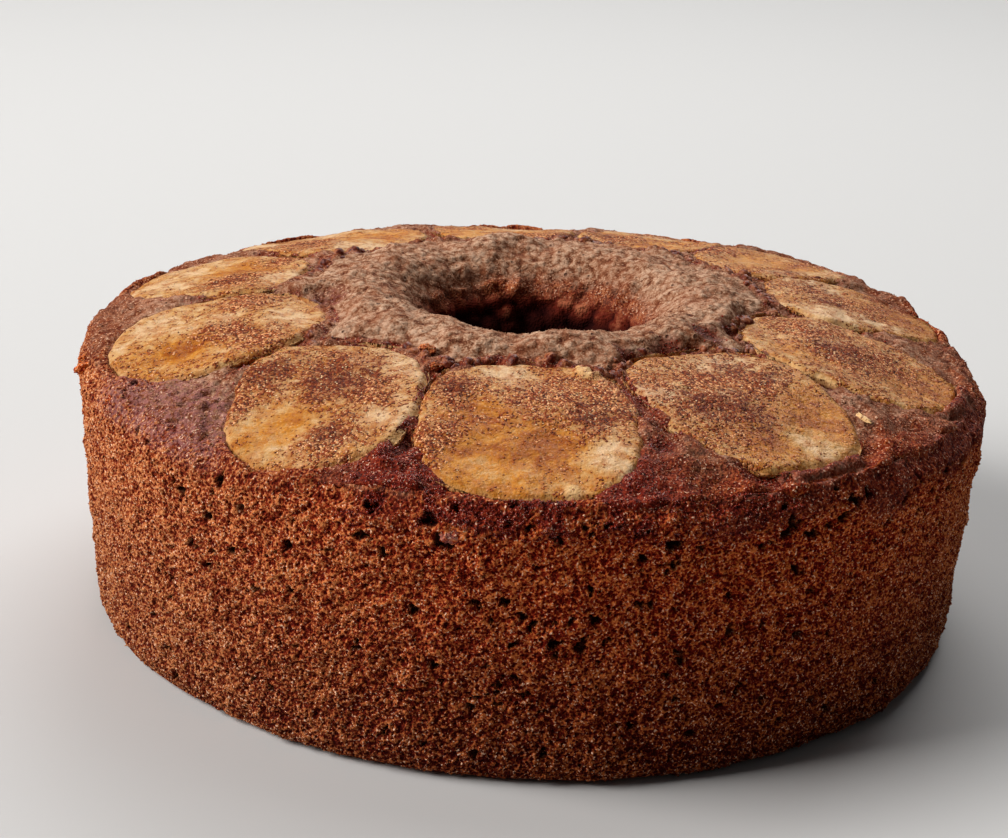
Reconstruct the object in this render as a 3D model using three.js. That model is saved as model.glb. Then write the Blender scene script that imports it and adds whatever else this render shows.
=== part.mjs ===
// Ring cake with a wreath of fruit slices baked into its domed top.
// Millimetres, +Z up. The origin is the centre of the flat base, on the axis of the hole.
// Angles run anticlockwise seen from above, in degrees, with 270 at the front.
import * as THREE from "three";
import { ImprovedNoise } from "three/addons/math/ImprovedNoise.js";

// Driving dimensions of the cake, from the tin it was baked in and how far it rose
const rimRadius = 120; // outer wall just under the shoulder
const baseRadius = 116; // outer wall at the foot, narrower because the tin tapers
const baseCorner = 5; // rounding between the foot and the base
const shoulderHeight = 69; // edge of the dome
const shoulderRound = 5; // rounding between the wall and the dome
const shoulderTurn = 70; // degrees that the rounding turns through before it meets the dome
const crestHeight = 82; // top of the dome, close round the hole
const crestRadius = 44;
const throatRadius = 22; // hole, at its narrowest
const throatHeight = 40;
const holeFootRadius = 25; // hole at the base, wider because the tin's tube tapers

// The rim rose unevenly: rise in millimetres at an angle, fading over its spread
const rimRises = [
  { at: 40, rise: 4.2, spread: 34 },
  { at: 122, rise: 1.5, spread: 30 },
  { at: 185, rise: 1.8, spread: 30 },
  { at: 232, rise: -1.8, spread: 25 },
  { at: 352, rise: -2.2, spread: 28 },
];

// Crust relief: height and size of the lumps
const crustLumps = [
  { height: 2.0, size: 17 },
  { height: 1.3, size: 7.5 },
];
const wallLumps = [
  { height: 1.1, size: 38 },
  { height: 0.7, size: 13 },
];
const ledgeRadius = 54; // the crust round the hole ends here in a ledge over the slices
const ledgeRise = 1.6;
const ledgeSlope = 3; // half the width that the ledge falls over
const ledgeWander = 5; // how far the ledge strays from its radius
const ledgeWanderSize = 11;
const ledgeNoiseLayer = 3.7; // a layer of the noise that the crust doesn't use

// Fruit slices, each sunk in its own dent in the batter
const sliceThickness = 3.4;
const sliceSink = 2.0; // floor of the dent, below the dome
const sliceGap = 0.4; // clearance between a slice and the batter
const sliceWave = 0.9; // unevenness of a slice's upper face
const sliceWaveSize = 16;
const sliceOval = 0.025; // stray of the outline from its even shape, as a share of its radius
const sliceCorner = 0.015;
const dentMargin = 1.6; // level floor outside a slice's edge
const dentBank = 3.2; // width of the bank that climbs back to the crust
const batterSwell = 1.1; // how far the batter stands up between the slices

// Where each slice lies: angle and distance of its middle, length and width,
// turn from the radial line, and squareness of its outline (2 is an ellipse)
const slices = [
  { at: 269.4, out: 86.5, long: 60, wide: 50.5, turn: 0, square: 2.5 },
  { at: 306.2, out: 83, long: 58, wide: 48.5, turn: -6, square: 2.6 },
  { at: 342.5, out: 84, long: 57, wide: 45, turn: -5, square: 2.5 },
  { at: 13.6, out: 90.5, long: 49, wide: 40.5, turn: -3, square: 2.4 },
  { at: 39.5, out: 90.5, long: 49, wide: 38.5, turn: -5, square: 2.4 },
  { at: 66.3, out: 90, long: 50, wide: 40, turn: 1, square: 2.5 },
  { at: 96.5, out: 89, long: 52, wide: 45, turn: -3, square: 2.4 },
  { at: 133, out: 89, long: 52, wide: 52, turn: 6, square: 2.5 },
  { at: 167.5, out: 90, long: 51, wide: 45, turn: -2, square: 2.4 },
  { at: 201, out: 86.5, long: 56, wide: 46.5, turn: 8, square: 2.4 },
  { at: 236.6, out: 88.6, long: 59, wide: 44.5, turn: 33, square: 2.6 },
];

// Mesh fineness: length of an edge on each stretch of the cake
const crustEdge = 3.8;
const shoulderEdge = 5;
const wallEdge = 7.5;
const mouthEdge = 4.2;
const holeEdge = 6;
const mouthSteps = 8; // rings between the crest and the throat
const sliceSides = 26; // sides of a slice's outline

const crustMaterial = new THREE.MeshStandardMaterial({ color: 0x7a4526, roughness: 0.85, metalness: 0 });
const fruitMaterial = new THREE.MeshStandardMaterial({ color: 0xc98f4e, roughness: 0.5, metalness: 0 });

const fullTurn = Math.PI * 2;
const quarterTurn = Math.PI / 2;
const roundMiddle = 1 - Math.SQRT1_2; // middle of a quarter round, from its two tangents
const noise = new ImprovedNoise();

const { degToRad, radToDeg, euclideanModulo, lerp, smoothstep } = THREE.MathUtils;

const domeRadius = rimRadius - shoulderRound * (1 - Math.cos(degToRad(shoulderTurn)));
const wallTop = shoulderHeight - shoulderRound * Math.sin(degToRad(shoulderTurn));

// Sum of smooth lumps at a point, each layer of its own height and size
function lumps(layers, x, y, z) {
  return layers.reduce((sum, { height, size }) => {
    return sum + height * noise.noise(x / size, y / size, z / size);
  }, 0);
}

// How much higher than the shoulder height the rim stands at an angle in radians
function rimRise(angle) {
  return rimRises.reduce((sum, bump) => {
    const away = euclideanModulo(radToDeg(angle) - bump.at + 180, 360) - 180;
    return sum + bump.rise * Math.exp(-((away / bump.spread) ** 2));
  }, 0);
}

// Plain dome of the top, before crust and dents
function domeHeight(x, y) {
  const radius = Math.hypot(x, y);
  const fall = Math.max(radius - crestRadius, 0) / (domeRadius - crestRadius);
  const rise = rimRise(Math.atan2(y, x)) * smoothstep(radius, crestRadius, rimRadius);
  return crestHeight - (crestHeight - shoulderHeight) * fall ** 2 + rise;
}

// Outline of a slice as a radius about its middle, slightly wavy so that no two are alike
function sliceRadius(slice, bearing) {
  const along = Math.abs(Math.cos(bearing) / (slice.long / 2)) ** slice.square;
  const across = Math.abs(Math.sin(bearing) / (slice.wide / 2)) ** slice.square;
  const oval = sliceOval * Math.sin(2 * bearing + slice.at);
  const corner = sliceCorner * Math.sin(3 * bearing + 2 * slice.at);
  return (along + across) ** (-1 / slice.square) * (1 + oval + corner);
}

// Point on the plan at a bearing and distance from a slice's middle
function slicePoint(slice, bearing, distance) {
  const middle = degToRad(slice.at);
  const heading = degToRad(slice.at + slice.turn) + bearing;
  return [
    slice.out * Math.cos(middle) + distance * Math.cos(heading),
    slice.out * Math.sin(middle) + distance * Math.sin(heading),
  ];
}

// Distance on the plan from a point to a slice's edge, negative inside it
function distanceToSlice(slice, x, y) {
  const [middleX, middleY] = slicePoint(slice, 0, 0);
  const bearing = Math.atan2(y - middleY, x - middleX) - degToRad(slice.at + slice.turn);
  return Math.hypot(x - middleX, y - middleY) - sliceRadius(slice, bearing);
}

// Share of the batter that is bare of fruit: 0 in a slice's dent, 1 clear of every slice
function bareness(x, y) {
  const clear = Math.min(...slices.map((slice) => distanceToSlice(slice, x, y)));
  return smoothstep(clear, dentMargin, dentMargin + dentBank);
}

// Height of the baked top: dome, crust and ledge, pressed down where a slice lies
function crustHeight(x, y) {
  const stray = noise.noise(x / ledgeWanderSize, y / ledgeWanderSize, ledgeNoiseLayer);
  const ledgeAt = ledgeRadius + ledgeWander * stray;
  const ledge = ledgeRise * (1 - smoothstep(Math.hypot(x, y), ledgeAt - ledgeSlope, ledgeAt + ledgeSlope));
  const crust = batterSwell + ledge + lumps(crustLumps, x, y, 0);
  return domeHeight(x, y) - sliceSink + bareness(x, y) * (sliceSink + crust);
}

// A closed loop of points round the axis, made by a function of the angle
function ring(count, pointAt) {
  return Array.from({ length: count }, (_, i) => pointAt((i / count) * fullTurn));
}

function ringAtRadius(radius, edge, heightAt) {
  return ring(Math.round((fullTurn * radius) / edge), (angle) => {
    const x = radius * Math.cos(angle);
    const y = radius * Math.sin(angle);
    return [x, y, heightAt(x, y)];
  });
}

// A ring on the outer wall or in the hole, pushed in and out by the wall's lumps
function wallRing(radius, height, edge) {
  return ring(Math.round((fullTurn * radius) / edge), (angle) => {
    const x = radius * Math.cos(angle);
    const y = radius * Math.sin(angle);
    const push = 1 + lumps(wallLumps, x, y, height) / radius;
    const stretch = 1 + rimRise(angle) / shoulderHeight;
    return [x * push, y * push, height * stretch];
  });
}

// A ring on the rounded shoulder, dented like the dome where a slice reaches it
function shoulderRing(turn) {
  const radius = rimRadius - shoulderRound * (1 - Math.cos(degToRad(turn)));
  const height = wallTop + shoulderRound * Math.sin(degToRad(turn));
  const even = wallRing(radius, height, shoulderEdge);
  return even.map(([x, y, z]) => [x, y, z - sliceSink * (1 - bareness(x, y))]);
}

// Rings of the cake's skin in order: base, wall, shoulder, dome, mouth and hole
function cakeRings() {
  const rings = [];
  rings.push(ringAtRadius(holeFootRadius, holeEdge, () => 0));
  rings.push(ringAtRadius((holeFootRadius + baseRadius) / 2, wallEdge, () => 0));
  rings.push(ringAtRadius(baseRadius - baseCorner, wallEdge, () => 0));
  rings.push(wallRing(baseRadius - roundMiddle * baseCorner, roundMiddle * baseCorner, wallEdge));

  const wallSteps = Math.round((wallTop - baseCorner) / wallEdge);
  for (let i = 0; i <= wallSteps; i++) {
    const share = i / wallSteps;
    rings.push(wallRing(lerp(baseRadius, rimRadius, share), lerp(baseCorner, wallTop, share), wallEdge));
  }
  for (const share of [1 / 3, 2 / 3]) {
    rings.push(shoulderRing(share * shoulderTurn));
  }
  const domeSteps = Math.round((domeRadius - crestRadius) / crustEdge);
  for (let i = 0; i <= domeSteps; i++) {
    rings.push(ringAtRadius(lerp(domeRadius, crestRadius, i / domeSteps), crustEdge, crustHeight));
  }

  // The mouth curves from the crest down into the throat as a quarter of an ellipse
  for (let i = 1; i <= mouthSteps; i++) {
    const turn = (i / mouthSteps) * quarterTurn;
    const radius = lerp(crestRadius, throatRadius, Math.sin(turn));
    const drop = (crestHeight - throatHeight) * (1 - Math.cos(turn));
    rings.push(ringAtRadius(radius, mouthEdge, (x, y) => crustHeight(x, y) - drop));
  }
  for (const share of [1 / 3, 2 / 3]) {
    rings.push(wallRing(lerp(throatRadius, holeFootRadius, share), throatHeight * (1 - share), holeEdge));
  }
  return rings;
}

// Joins two neighbouring rings with triangles, stepping along whichever ring lags behind
function joinRings(first, firstCount, second, secondCount, faces) {
  let i = 0;
  let j = 0;
  while (i < firstCount || j < secondCount) {
    const a = first + (i % firstCount);
    const b = second + (j % secondCount);
    if ((i + 1) / firstCount <= (j + 1) / secondCount) {
      i++;
      faces.push(a, first + (i % firstCount), b);
    } else {
      j++;
      faces.push(a, second + (j % secondCount), b);
    }
  }
}

function geometryFrom(points, faces) {
  const geometry = new THREE.BufferGeometry();
  geometry.setAttribute("position", new THREE.Float32BufferAttribute(points.flat(), 3));
  geometry.setIndex(faces);
  geometry.computeVertexNormals();
  return geometry;
}

// The cake is one skin of rings that closes on itself through the hole
function cakeGeometry() {
  const rings = cakeRings();
  const starts = [];
  let total = 0;
  for (const loop of rings) {
    starts.push(total);
    total += loop.length;
  }
  const faces = [];
  rings.forEach((loop, i) => {
    const next = (i + 1) % rings.length;
    joinRings(starts[i], loop.length, starts[next], rings[next].length, faces);
  });
  return geometryFrom(rings.flat(), faces);
}

// Loops of a slice's skin from the middle of its underside to the middle of its face:
// share of the outline's radius, and height as a share of the thickness
const sliceLoops = [
  { share: 0.55, level: 0 },
  { share: 0.98, level: 0 },
  { share: 1, level: 0.6 },
  { share: 0.93, level: 1 },
  { share: 0.5, level: 1 },
];

// A slice bends with the dome below it, and its face is slightly uneven
function sliceSkinPoint(slice, bearing, { share, level }) {
  const [x, y] = slicePoint(slice, bearing, share * sliceRadius(slice, bearing));
  const wave = level * sliceWave * noise.noise(x / sliceWaveSize, y / sliceWaveSize, slice.at);
  return [x, y, domeHeight(x, y) - sliceSink + sliceGap + level * sliceThickness + wave];
}

function sliceGeometry(slice) {
  const points = [sliceSkinPoint(slice, 0, { share: 0, level: 0 })];
  for (const loop of sliceLoops) {
    points.push(...ring(sliceSides, (bearing) => sliceSkinPoint(slice, bearing, loop)));
  }
  points.push(sliceSkinPoint(slice, 0, { share: 0, level: 1 }));

  const top = points.length - 1;
  const lastLoop = top - sliceSides;
  const faces = [];
  for (let i = 0; i < sliceSides; i++) {
    const next = (i + 1) % sliceSides;
    faces.push(0, 1 + next, 1 + i);
    faces.push(lastLoop + i, lastLoop + next, top);
  }
  for (let i = 0; i < sliceLoops.length - 1; i++) {
    joinRings(1 + i * sliceSides, sliceSides, 1 + (i + 1) * sliceSides, sliceSides, faces);
  }
  return geometryFrom(points, faces);
}

function namedMesh(name, geometry, material) {
  const mesh = new THREE.Mesh(geometry, material);
  mesh.name = name;
  return mesh;
}

const cake = new THREE.Group();
cake.name = "fruit_ring_cake";
cake.add(namedMesh("cake_body", cakeGeometry(), crustMaterial));
slices.forEach((slice, i) => {
  const name = `fruit_slice_${String(i + 1).padStart(2, "0")}`;
  cake.add(namedMesh(name, sliceGeometry(slice), fruitMaterial));
});

export default cake;
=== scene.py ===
import math
from types import SimpleNamespace

import bpy
import numpy as np
from mathutils import Matrix, Vector, geometry, kdtree, noise
from mathutils.bvhtree import BVHTree


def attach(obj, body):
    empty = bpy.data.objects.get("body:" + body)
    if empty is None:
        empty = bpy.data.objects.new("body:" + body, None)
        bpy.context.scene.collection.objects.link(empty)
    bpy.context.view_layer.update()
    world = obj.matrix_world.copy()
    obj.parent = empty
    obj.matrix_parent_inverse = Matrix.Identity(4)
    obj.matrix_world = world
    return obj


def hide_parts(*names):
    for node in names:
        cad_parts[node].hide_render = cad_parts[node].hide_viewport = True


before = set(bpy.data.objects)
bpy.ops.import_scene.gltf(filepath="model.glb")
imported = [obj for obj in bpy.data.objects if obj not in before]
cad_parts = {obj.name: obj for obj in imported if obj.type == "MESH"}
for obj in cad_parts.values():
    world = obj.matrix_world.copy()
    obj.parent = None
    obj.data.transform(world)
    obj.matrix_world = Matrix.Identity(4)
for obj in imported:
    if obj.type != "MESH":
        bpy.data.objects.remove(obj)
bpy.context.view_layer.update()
mm = 0.001  # shapes below are worked out in mm


def tone(red, green, blue):
    # a screen colour, 0 to 255, as the linear colour that a shader takes
    shares = [value / 255 for value in (red, green, blue)]
    return tuple(s / 12.92 if s < 0.04045 else ((s + 0.055) / 1.055) ** 2.4 for s in shares) + (1.0,)


def tones(*stops):
    # a colour ramp, each stop as position, red, green and blue
    return [(position, tone(*colour)) for position, *colour in stops]


def selectOnly(piece):
    bpy.ops.object.select_all(action="DESELECT")
    piece.select_set(True)
    bpy.context.view_layer.objects.active = piece


def applied(piece, kind, **settings):
    # adds a modifier and applies it at once
    selectOnly(piece)
    added = piece.modifiers.new(kind, kind)
    for name, value in settings.items():
        setattr(added, name, value)
    bpy.ops.object.modifier_apply(modifier=added.name)


def newObject(name, data):
    made = bpy.data.objects.new(name, data)
    bpy.context.scene.collection.objects.link(made)
    return made


def onWhole(piece, operator, **settings):
    # one mesh operator on all of a piece
    selectOnly(piece)
    bpy.ops.object.mode_set(mode="EDIT")
    bpy.ops.mesh.select_all(action="SELECT")
    operator(**settings)
    bpy.ops.object.mode_set(mode="OBJECT")


def copiedNode(node, name, voxel):
    # an evenly meshed copy of a CAD node, to be shaped further, with its points and normals
    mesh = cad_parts[node].data.copy()
    mesh.name = name
    mesh.materials.clear()
    piece = newObject(name, mesh)
    onWhole(piece, bpy.ops.mesh.remove_doubles, threshold=0.01 * mm)
    applied(piece, "REMESH", mode="VOXEL", voxel_size=voxel * mm)
    applied(piece, "SMOOTH", iterations=2, factor=0.5)
    return piece, pointsOf(piece), normalsOf(piece)


def valuesOf(data, field, width, kind=np.float32):
    found = np.empty(len(data) * width, kind)
    data.foreach_get(field, found)
    return found.reshape(-1, width)


def pointsOf(piece):
    return valuesOf(piece.data.vertices, "co", 3).astype(float) / mm


def normalsOf(piece):
    return valuesOf(piece.data.vertex_normals, "vector", 3).astype(float)


def movePoints(piece, points):
    piece.data.vertices.foreach_set("co", (points * mm).astype(np.float32).ravel())
    piece.data.update()


def store(piece, **values):
    # one float attribute per name, for the materials to read
    for name, value in values.items():
        made = piece.data.attributes.new(name, "FLOAT", "POINT")
        made.data.foreach_set("value", np.clip(value, 0, 1).astype(np.float32))


def marked(piece, name):
    return valuesOf(piece.data.attributes[name].data, "value", 1)[:, 0]


def ease(low, high, value):
    # 0 at low and 1 at high, smooth in between
    share = np.clip((value - low) / (high - low), 0, 1)
    return share * share * (3 - 2 * share)


def between(value, start, full, fade, end):
    # 1 from full to fade, easing to 0 at the start and at the end
    return ease(start, full, value) * ease(end, fade, value)


def awayFrom(points, x, y, across):
    # distance in plan, as a share of across
    return np.hypot(points[:, 0] - x, points[:, 1] - y) / across


def ripple(points, *layers):
    # smooth noise about 0, the sum of layers given as height, mm across a lump and seed
    found = np.zeros(len(points))
    for height, size, seed in layers:
        shift = Vector((17.3 * seed, -9.1 * seed, 5.7 * seed))
        found += height * np.array([noise.noise(Vector(p) / size + shift) for p in points.tolist()])
    return found


def rippleOn(mask, points, *layers):
    # the same, worked out only where the mask needs it
    found = np.zeros(len(points))
    inside = mask > 0.01
    found[inside] = ripple(points[inside], *layers)
    return found


def knobsOn(mask, points, size, seed):
    # rounded knobs about that many mm across, 0 between them and 1 on top
    found = np.zeros(len(points))
    inside = mask > 0.01
    shift = Vector((7.1 * seed, 3.3 * seed, -4.7 * seed))
    away = [noise.voronoi(Vector(p) / size + shift)[0][0] for p in points[inside].tolist()]
    found[inside] = np.clip(1 - (np.array(away) / 0.75) ** 2, 0, 1)
    return found


def finished(piece, material, slot, *nodes):
    selectOnly(piece)
    bpy.ops.object.shade_smooth()
    piece.data.materials.append(material)
    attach(piece, "root")
    if nodes:
        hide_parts(*nodes)
    return piece


class Wire:
    # a socket in a material, so that sums on it can be written in plain Python
    def __init__(self, tree, socket=None):
        self.tree, self.socket = tree, socket

    def node(self, kind, settings, sockets, out=0):
        made = self.tree.nodes.new("ShaderNode" + kind)
        for name, value in settings.items():
            if name == "stops":
                ramp = made.color_ramp.elements
                while len(ramp) < len(value):
                    ramp.new(1)
                for stop, (position, colour) in zip(ramp, value):
                    stop.position, stop.color = position, colour
            else:
                setattr(made, name, value)
        for key, value in sockets.items():
            if isinstance(value, Wire):
                self.tree.links.new(value.socket, made.inputs[key])
            else:
                made.inputs[key].default_value = value
        return Wire(self.tree, made.outputs[out])

    def math(self, operation, *values):
        return self.node("Math", {"operation": operation}, dict(enumerate(values)))

    def __add__(self, other):
        return self.math("ADD", self, other)

    def __sub__(self, other):
        return self.math("SUBTRACT", self, other)

    def __rsub__(self, other):
        return self.math("SUBTRACT", other, self)

    def __mul__(self, other):
        return self.math("MULTIPLY", self, other)

    __radd__ = __add__
    __rmul__ = __mul__

    def ramp(self, low, high, start=0.0, end=1.0):
        # eases from start to end as the value goes from low to high
        return self.node("MapRange", {"interpolation_type": "SMOOTHSTEP"},
                         {0: self, 1: low, 2: high, 3: start, 4: end})

    def mix(self, first, second):
        # two colours, shared out by this value
        return self.node("Mix", {"data_type": "RGBA"}, {0: self, 6: first, 7: second}, 2)


def startMaterial(name, **constants):
    # a new material, its shader and the places on a piece in mm
    material = bpy.data.materials.new(name)
    material.use_nodes = True
    shader = material.node_tree.nodes["Principled BSDF"]
    for socket, value in constants.items():
        shader.inputs[socket.replace("_", " ")].default_value = value
    place = Wire(material.node_tree).node("TexCoord", {}, {}, "Object")
    scaled = place.node("VectorMath", {"operation": "SCALE"}, {0: place, "Scale": 1 / mm})
    return material, shader, scaled


def feed(shader, **sockets):
    for socket, value in sockets.items():
        value.tree.links.new(value.socket, shader.inputs[socket.replace("_", " ")])


def read(place, name):
    return place.node("Attribute", {"attribute_name": name}, {}, "Fac")


def cloud(place, size, detail=2.0, shift=0.0):
    moved = place.node("VectorMath", {"operation": "ADD"}, {0: place, 1: (shift, shift, shift)})
    return place.node("TexNoise", {}, {"Vector": moved, "Scale": 1 / size, "Detail": detail})


def cells(place, size, out="Distance"):
    # distance from the nearest cell centre, or a chance colour per cell
    return place.node("TexVoronoi", {}, {"Vector": place, "Scale": 1 / size}, out)


def chanceIn(place, size, channel=0):
    return place.node("SeparateColor", {}, {0: cells(place, size, "Color")}, channel)


def coloured(value, stops):
    return value.node("ValToRGB", {"stops": stops}, {0: value})


def bump(height, depth, strength=1.0):
    # depth in mm between height 0 and height 1
    return height.node("Bump", {}, {"Strength": strength, "Distance": depth * mm, "Height": height})


crumbLook = {
    "sponge": tones((0, 70, 3, 1), (0.3, 112, 14, 3), (0.6, 148, 39, 12), (1, 216, 114, 52)),
    "tan": tones((0, 60, 8, 2), (0.3, 110, 30, 10), (0.6, 148, 66, 30), (1, 212, 138, 86)),
    # the crust tones are lighter and greyer than baked crust alone: partly painted sheen, standing in for the
    # bright backdrop's reflection
    "crust": tones((0, 66, 20, 9), (0.3, 121, 74, 49), (0.62, 160, 119, 92), (1, 190, 155, 129)),
    "skin": tones((0, 44, 5, 2), (0.5, 88, 26, 12), (1, 140, 69, 41)),
    "stickyAndShade": tones((0, 46, 2, 1), (0.5, 106, 19, 6), (1, 156, 60, 30)),
    "inside": tones((0, 36, 4, 4), (0.5, 98, 33, 20), (1, 176, 104, 72)),
    "shadeAndSoak": tone(46, 2, 1), "prickShade": tone(66, 20, 9), "ruddy": tone(142, 84, 56),
    "plum": tone(146, 96, 92), "hollowShade": tone(26, 2, 1), "glint": tone(250, 214, 184),
}
crumbMarks = ("rise", "crust", "skin", "pit", "glaze", "plum", "deep", "tan")


def crumbMaterial(name, sheen, look):
    material, shader, place = startMaterial(name, Specular_IOR_Level=sheen)
    rise, crust, skin, pit, glaze, plum, deep, tan = (read(place, name) for name in crumbMarks)
    height = place.node("SeparateXYZ", {}, {0: place}, "Z")
    broad, middle = cloud(place, 15, 3), cloud(place, 5, 3, 40)
    clump, gritty = cloud(place, 1.2, 2.5, 90), cloud(place, 0.5, 1, 130)
    hollow, chip = cells(place, 0.7), chanceIn(place, 0.5)

    # porous crumb, smoother below the crust, and darker and redder towards the base: painted shade, with some
    # moister crumb there
    # the tone follows the bump and the rise mark, lighter on raised crumb and darker in dips and hollows:
    # partly painted shade
    sponge = clump * 0.2 + gritty * 0.8 + hollow * 0.75
    crumbTone = (rise * 0.62 + sponge + broad * 0.25 + chip * 0.36).ramp(1.05, 1.92)
    # the tan tone: partly painted light and sheen on the lit left side
    crumb = tan.mix(coloured(crumbTone, look["sponge"]), coloured(crumbTone, look["tan"]))
    smooth = (rise * 0.3 + middle * 0.4 + clump * 0.5 + gritty * 0.4 + chip * 0.15).ramp(0.6, 1.2)
    crumb = (skin * 0.7).mix(crumb, coloured(smooth, look["skin"]))
    shadeAndSoak = height.ramp(0, 60, 1.0, 0) * crumbTone.ramp(2.0, 0.0) * (1 - tan * 0.5)
    crumb = shadeAndSoak.mix(crumb, look["shadeAndSoak"])

    # crust with pimples and small dark pricks; its tone follows the relief, lighter on pimples and crags and
    # darker in creases, partly painted light and shade, and the dark of the pricks is painted shade
    craggy, pimple = cloud(place, 2.2, 2, 170), 1 - cells(place, 2.1)
    crusty = broad * 0.3 + middle * 0.45 + craggy * 0.6 + pimple * 0.5 + gritty * 0.5 + chip * 0.2 + 0.02
    prick = chanceIn(place, 2.1, 2).ramp(0.86, 0.88) * pimple.ramp(0.7, 0.86)
    top = coloured(crusty.ramp(0.84, 1.64), look["crust"])
    top = (cloud(place, 9, 5, 210).ramp(0.44, 0.64) * 0.3).mix(top, look["ruddy"])
    colour = crust.mix(crumb, (prick * 0.75).mix(top, look["prickShade"]))

    colour = (plum * clump.ramp(0.38, 0.62) * 0.75).mix(colour, look["plum"])
    # the glaze tone: sticky syrup, and painted shade in narrow gaps between slices, between knobs and on the
    # right shoulder
    colour = glaze.mix(colour, coloured(crumbTone * 0.75, look["stickyAndShade"]))
    glint = gritty.ramp(0.61, 0.67) * chip.ramp(0.35, 0.6) * rise.ramp(0.3, 0.7) * (0.75 - crust * 0.55)
    colour = glint.mix(colour, look["glint"])
    # near black in pits, holes and crevices: painted shade
    colour = (pit * 0.95).mix(colour, look["hollowShade"])
    # inside the hole the crumb darkens with depth, to near black at the bottom: painted shade
    inside = coloured((rise * 0.7 + middle * 0.7 + clump * 0.35 - deep * 0.3).ramp(0.35, 1.3), look["inside"])
    colour = deep.ramp(0, 0.5).mix(colour, deep.ramp(0.6, 1.0, 0, 0.8).mix(inside, look["hollowShade"]))
    craggedTop = pimple * 1.1 - prick * 1.6 + craggy * 1.2 + middle * 1.4 + gritty * 0.4
    feed(shader, Base_Color=colour, Normal=bump((1 - crust) * sponge + crust * craggedTop, 0.55, 0.85),
         Roughness=(0.62 + gritty * 0.4 - glaze * 0.3 - skin * 0.1).ramp(0, 1, 0.2, 0.95))
    return material


cakeShape = {
    "voxel": 0.6, "triangles": 196000,
    "inset": 3.2,  # how far the body stands back under the side pieces
    "collar": 62, "collarLeft": 7,  # radius of the crust collar, and how much more it has on the left
    # dishes and knobs of the crust: x, y, across, height
    "dishes": [(-55.7, -10.2, 8.5, -3.0), (-7, 39, 9, -1.2), (47, -44, 6, -1.0), (62, -10, 7, -1.0)],
    "knobs": [(-20.3, 29, 2.4, 1.7), (-4.9, 30.8, 2.8, 1.5), (26.2, 19.2, 3.4, 1.8), (57, -35.6, 3.2, 1.8),
              (-26.3, -53.4, 2.2, 1.6), (20, -50, 3.2, 1.2), (-10, -55, 2.6, 1.3), (2, -56, 2.8, 1.2)],
    # sticky hollows between the slices, darkened with painted shade: x, y, across, depth
    "crevices": [
        (-29.2, -94.3, 5, 1.4), (34.5, -79, 3.5, 1.8), (32, -86, 4, 2.2), (28.5, -94, 4.5, 1.6),
        (73, -46.4, 3.5, 1.8), (79, -48, 4, 2.0), (84, -49.5, 4, 1.5), (50.9, -97, 6, 1.3),
        (-56, -52, 3, 1.2), (22, -49, 4, 1.6), (33, -41, 5, 2.0), (43, -31, 5, 1.8), (50, -22, 4, 1.4)],
}
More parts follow.
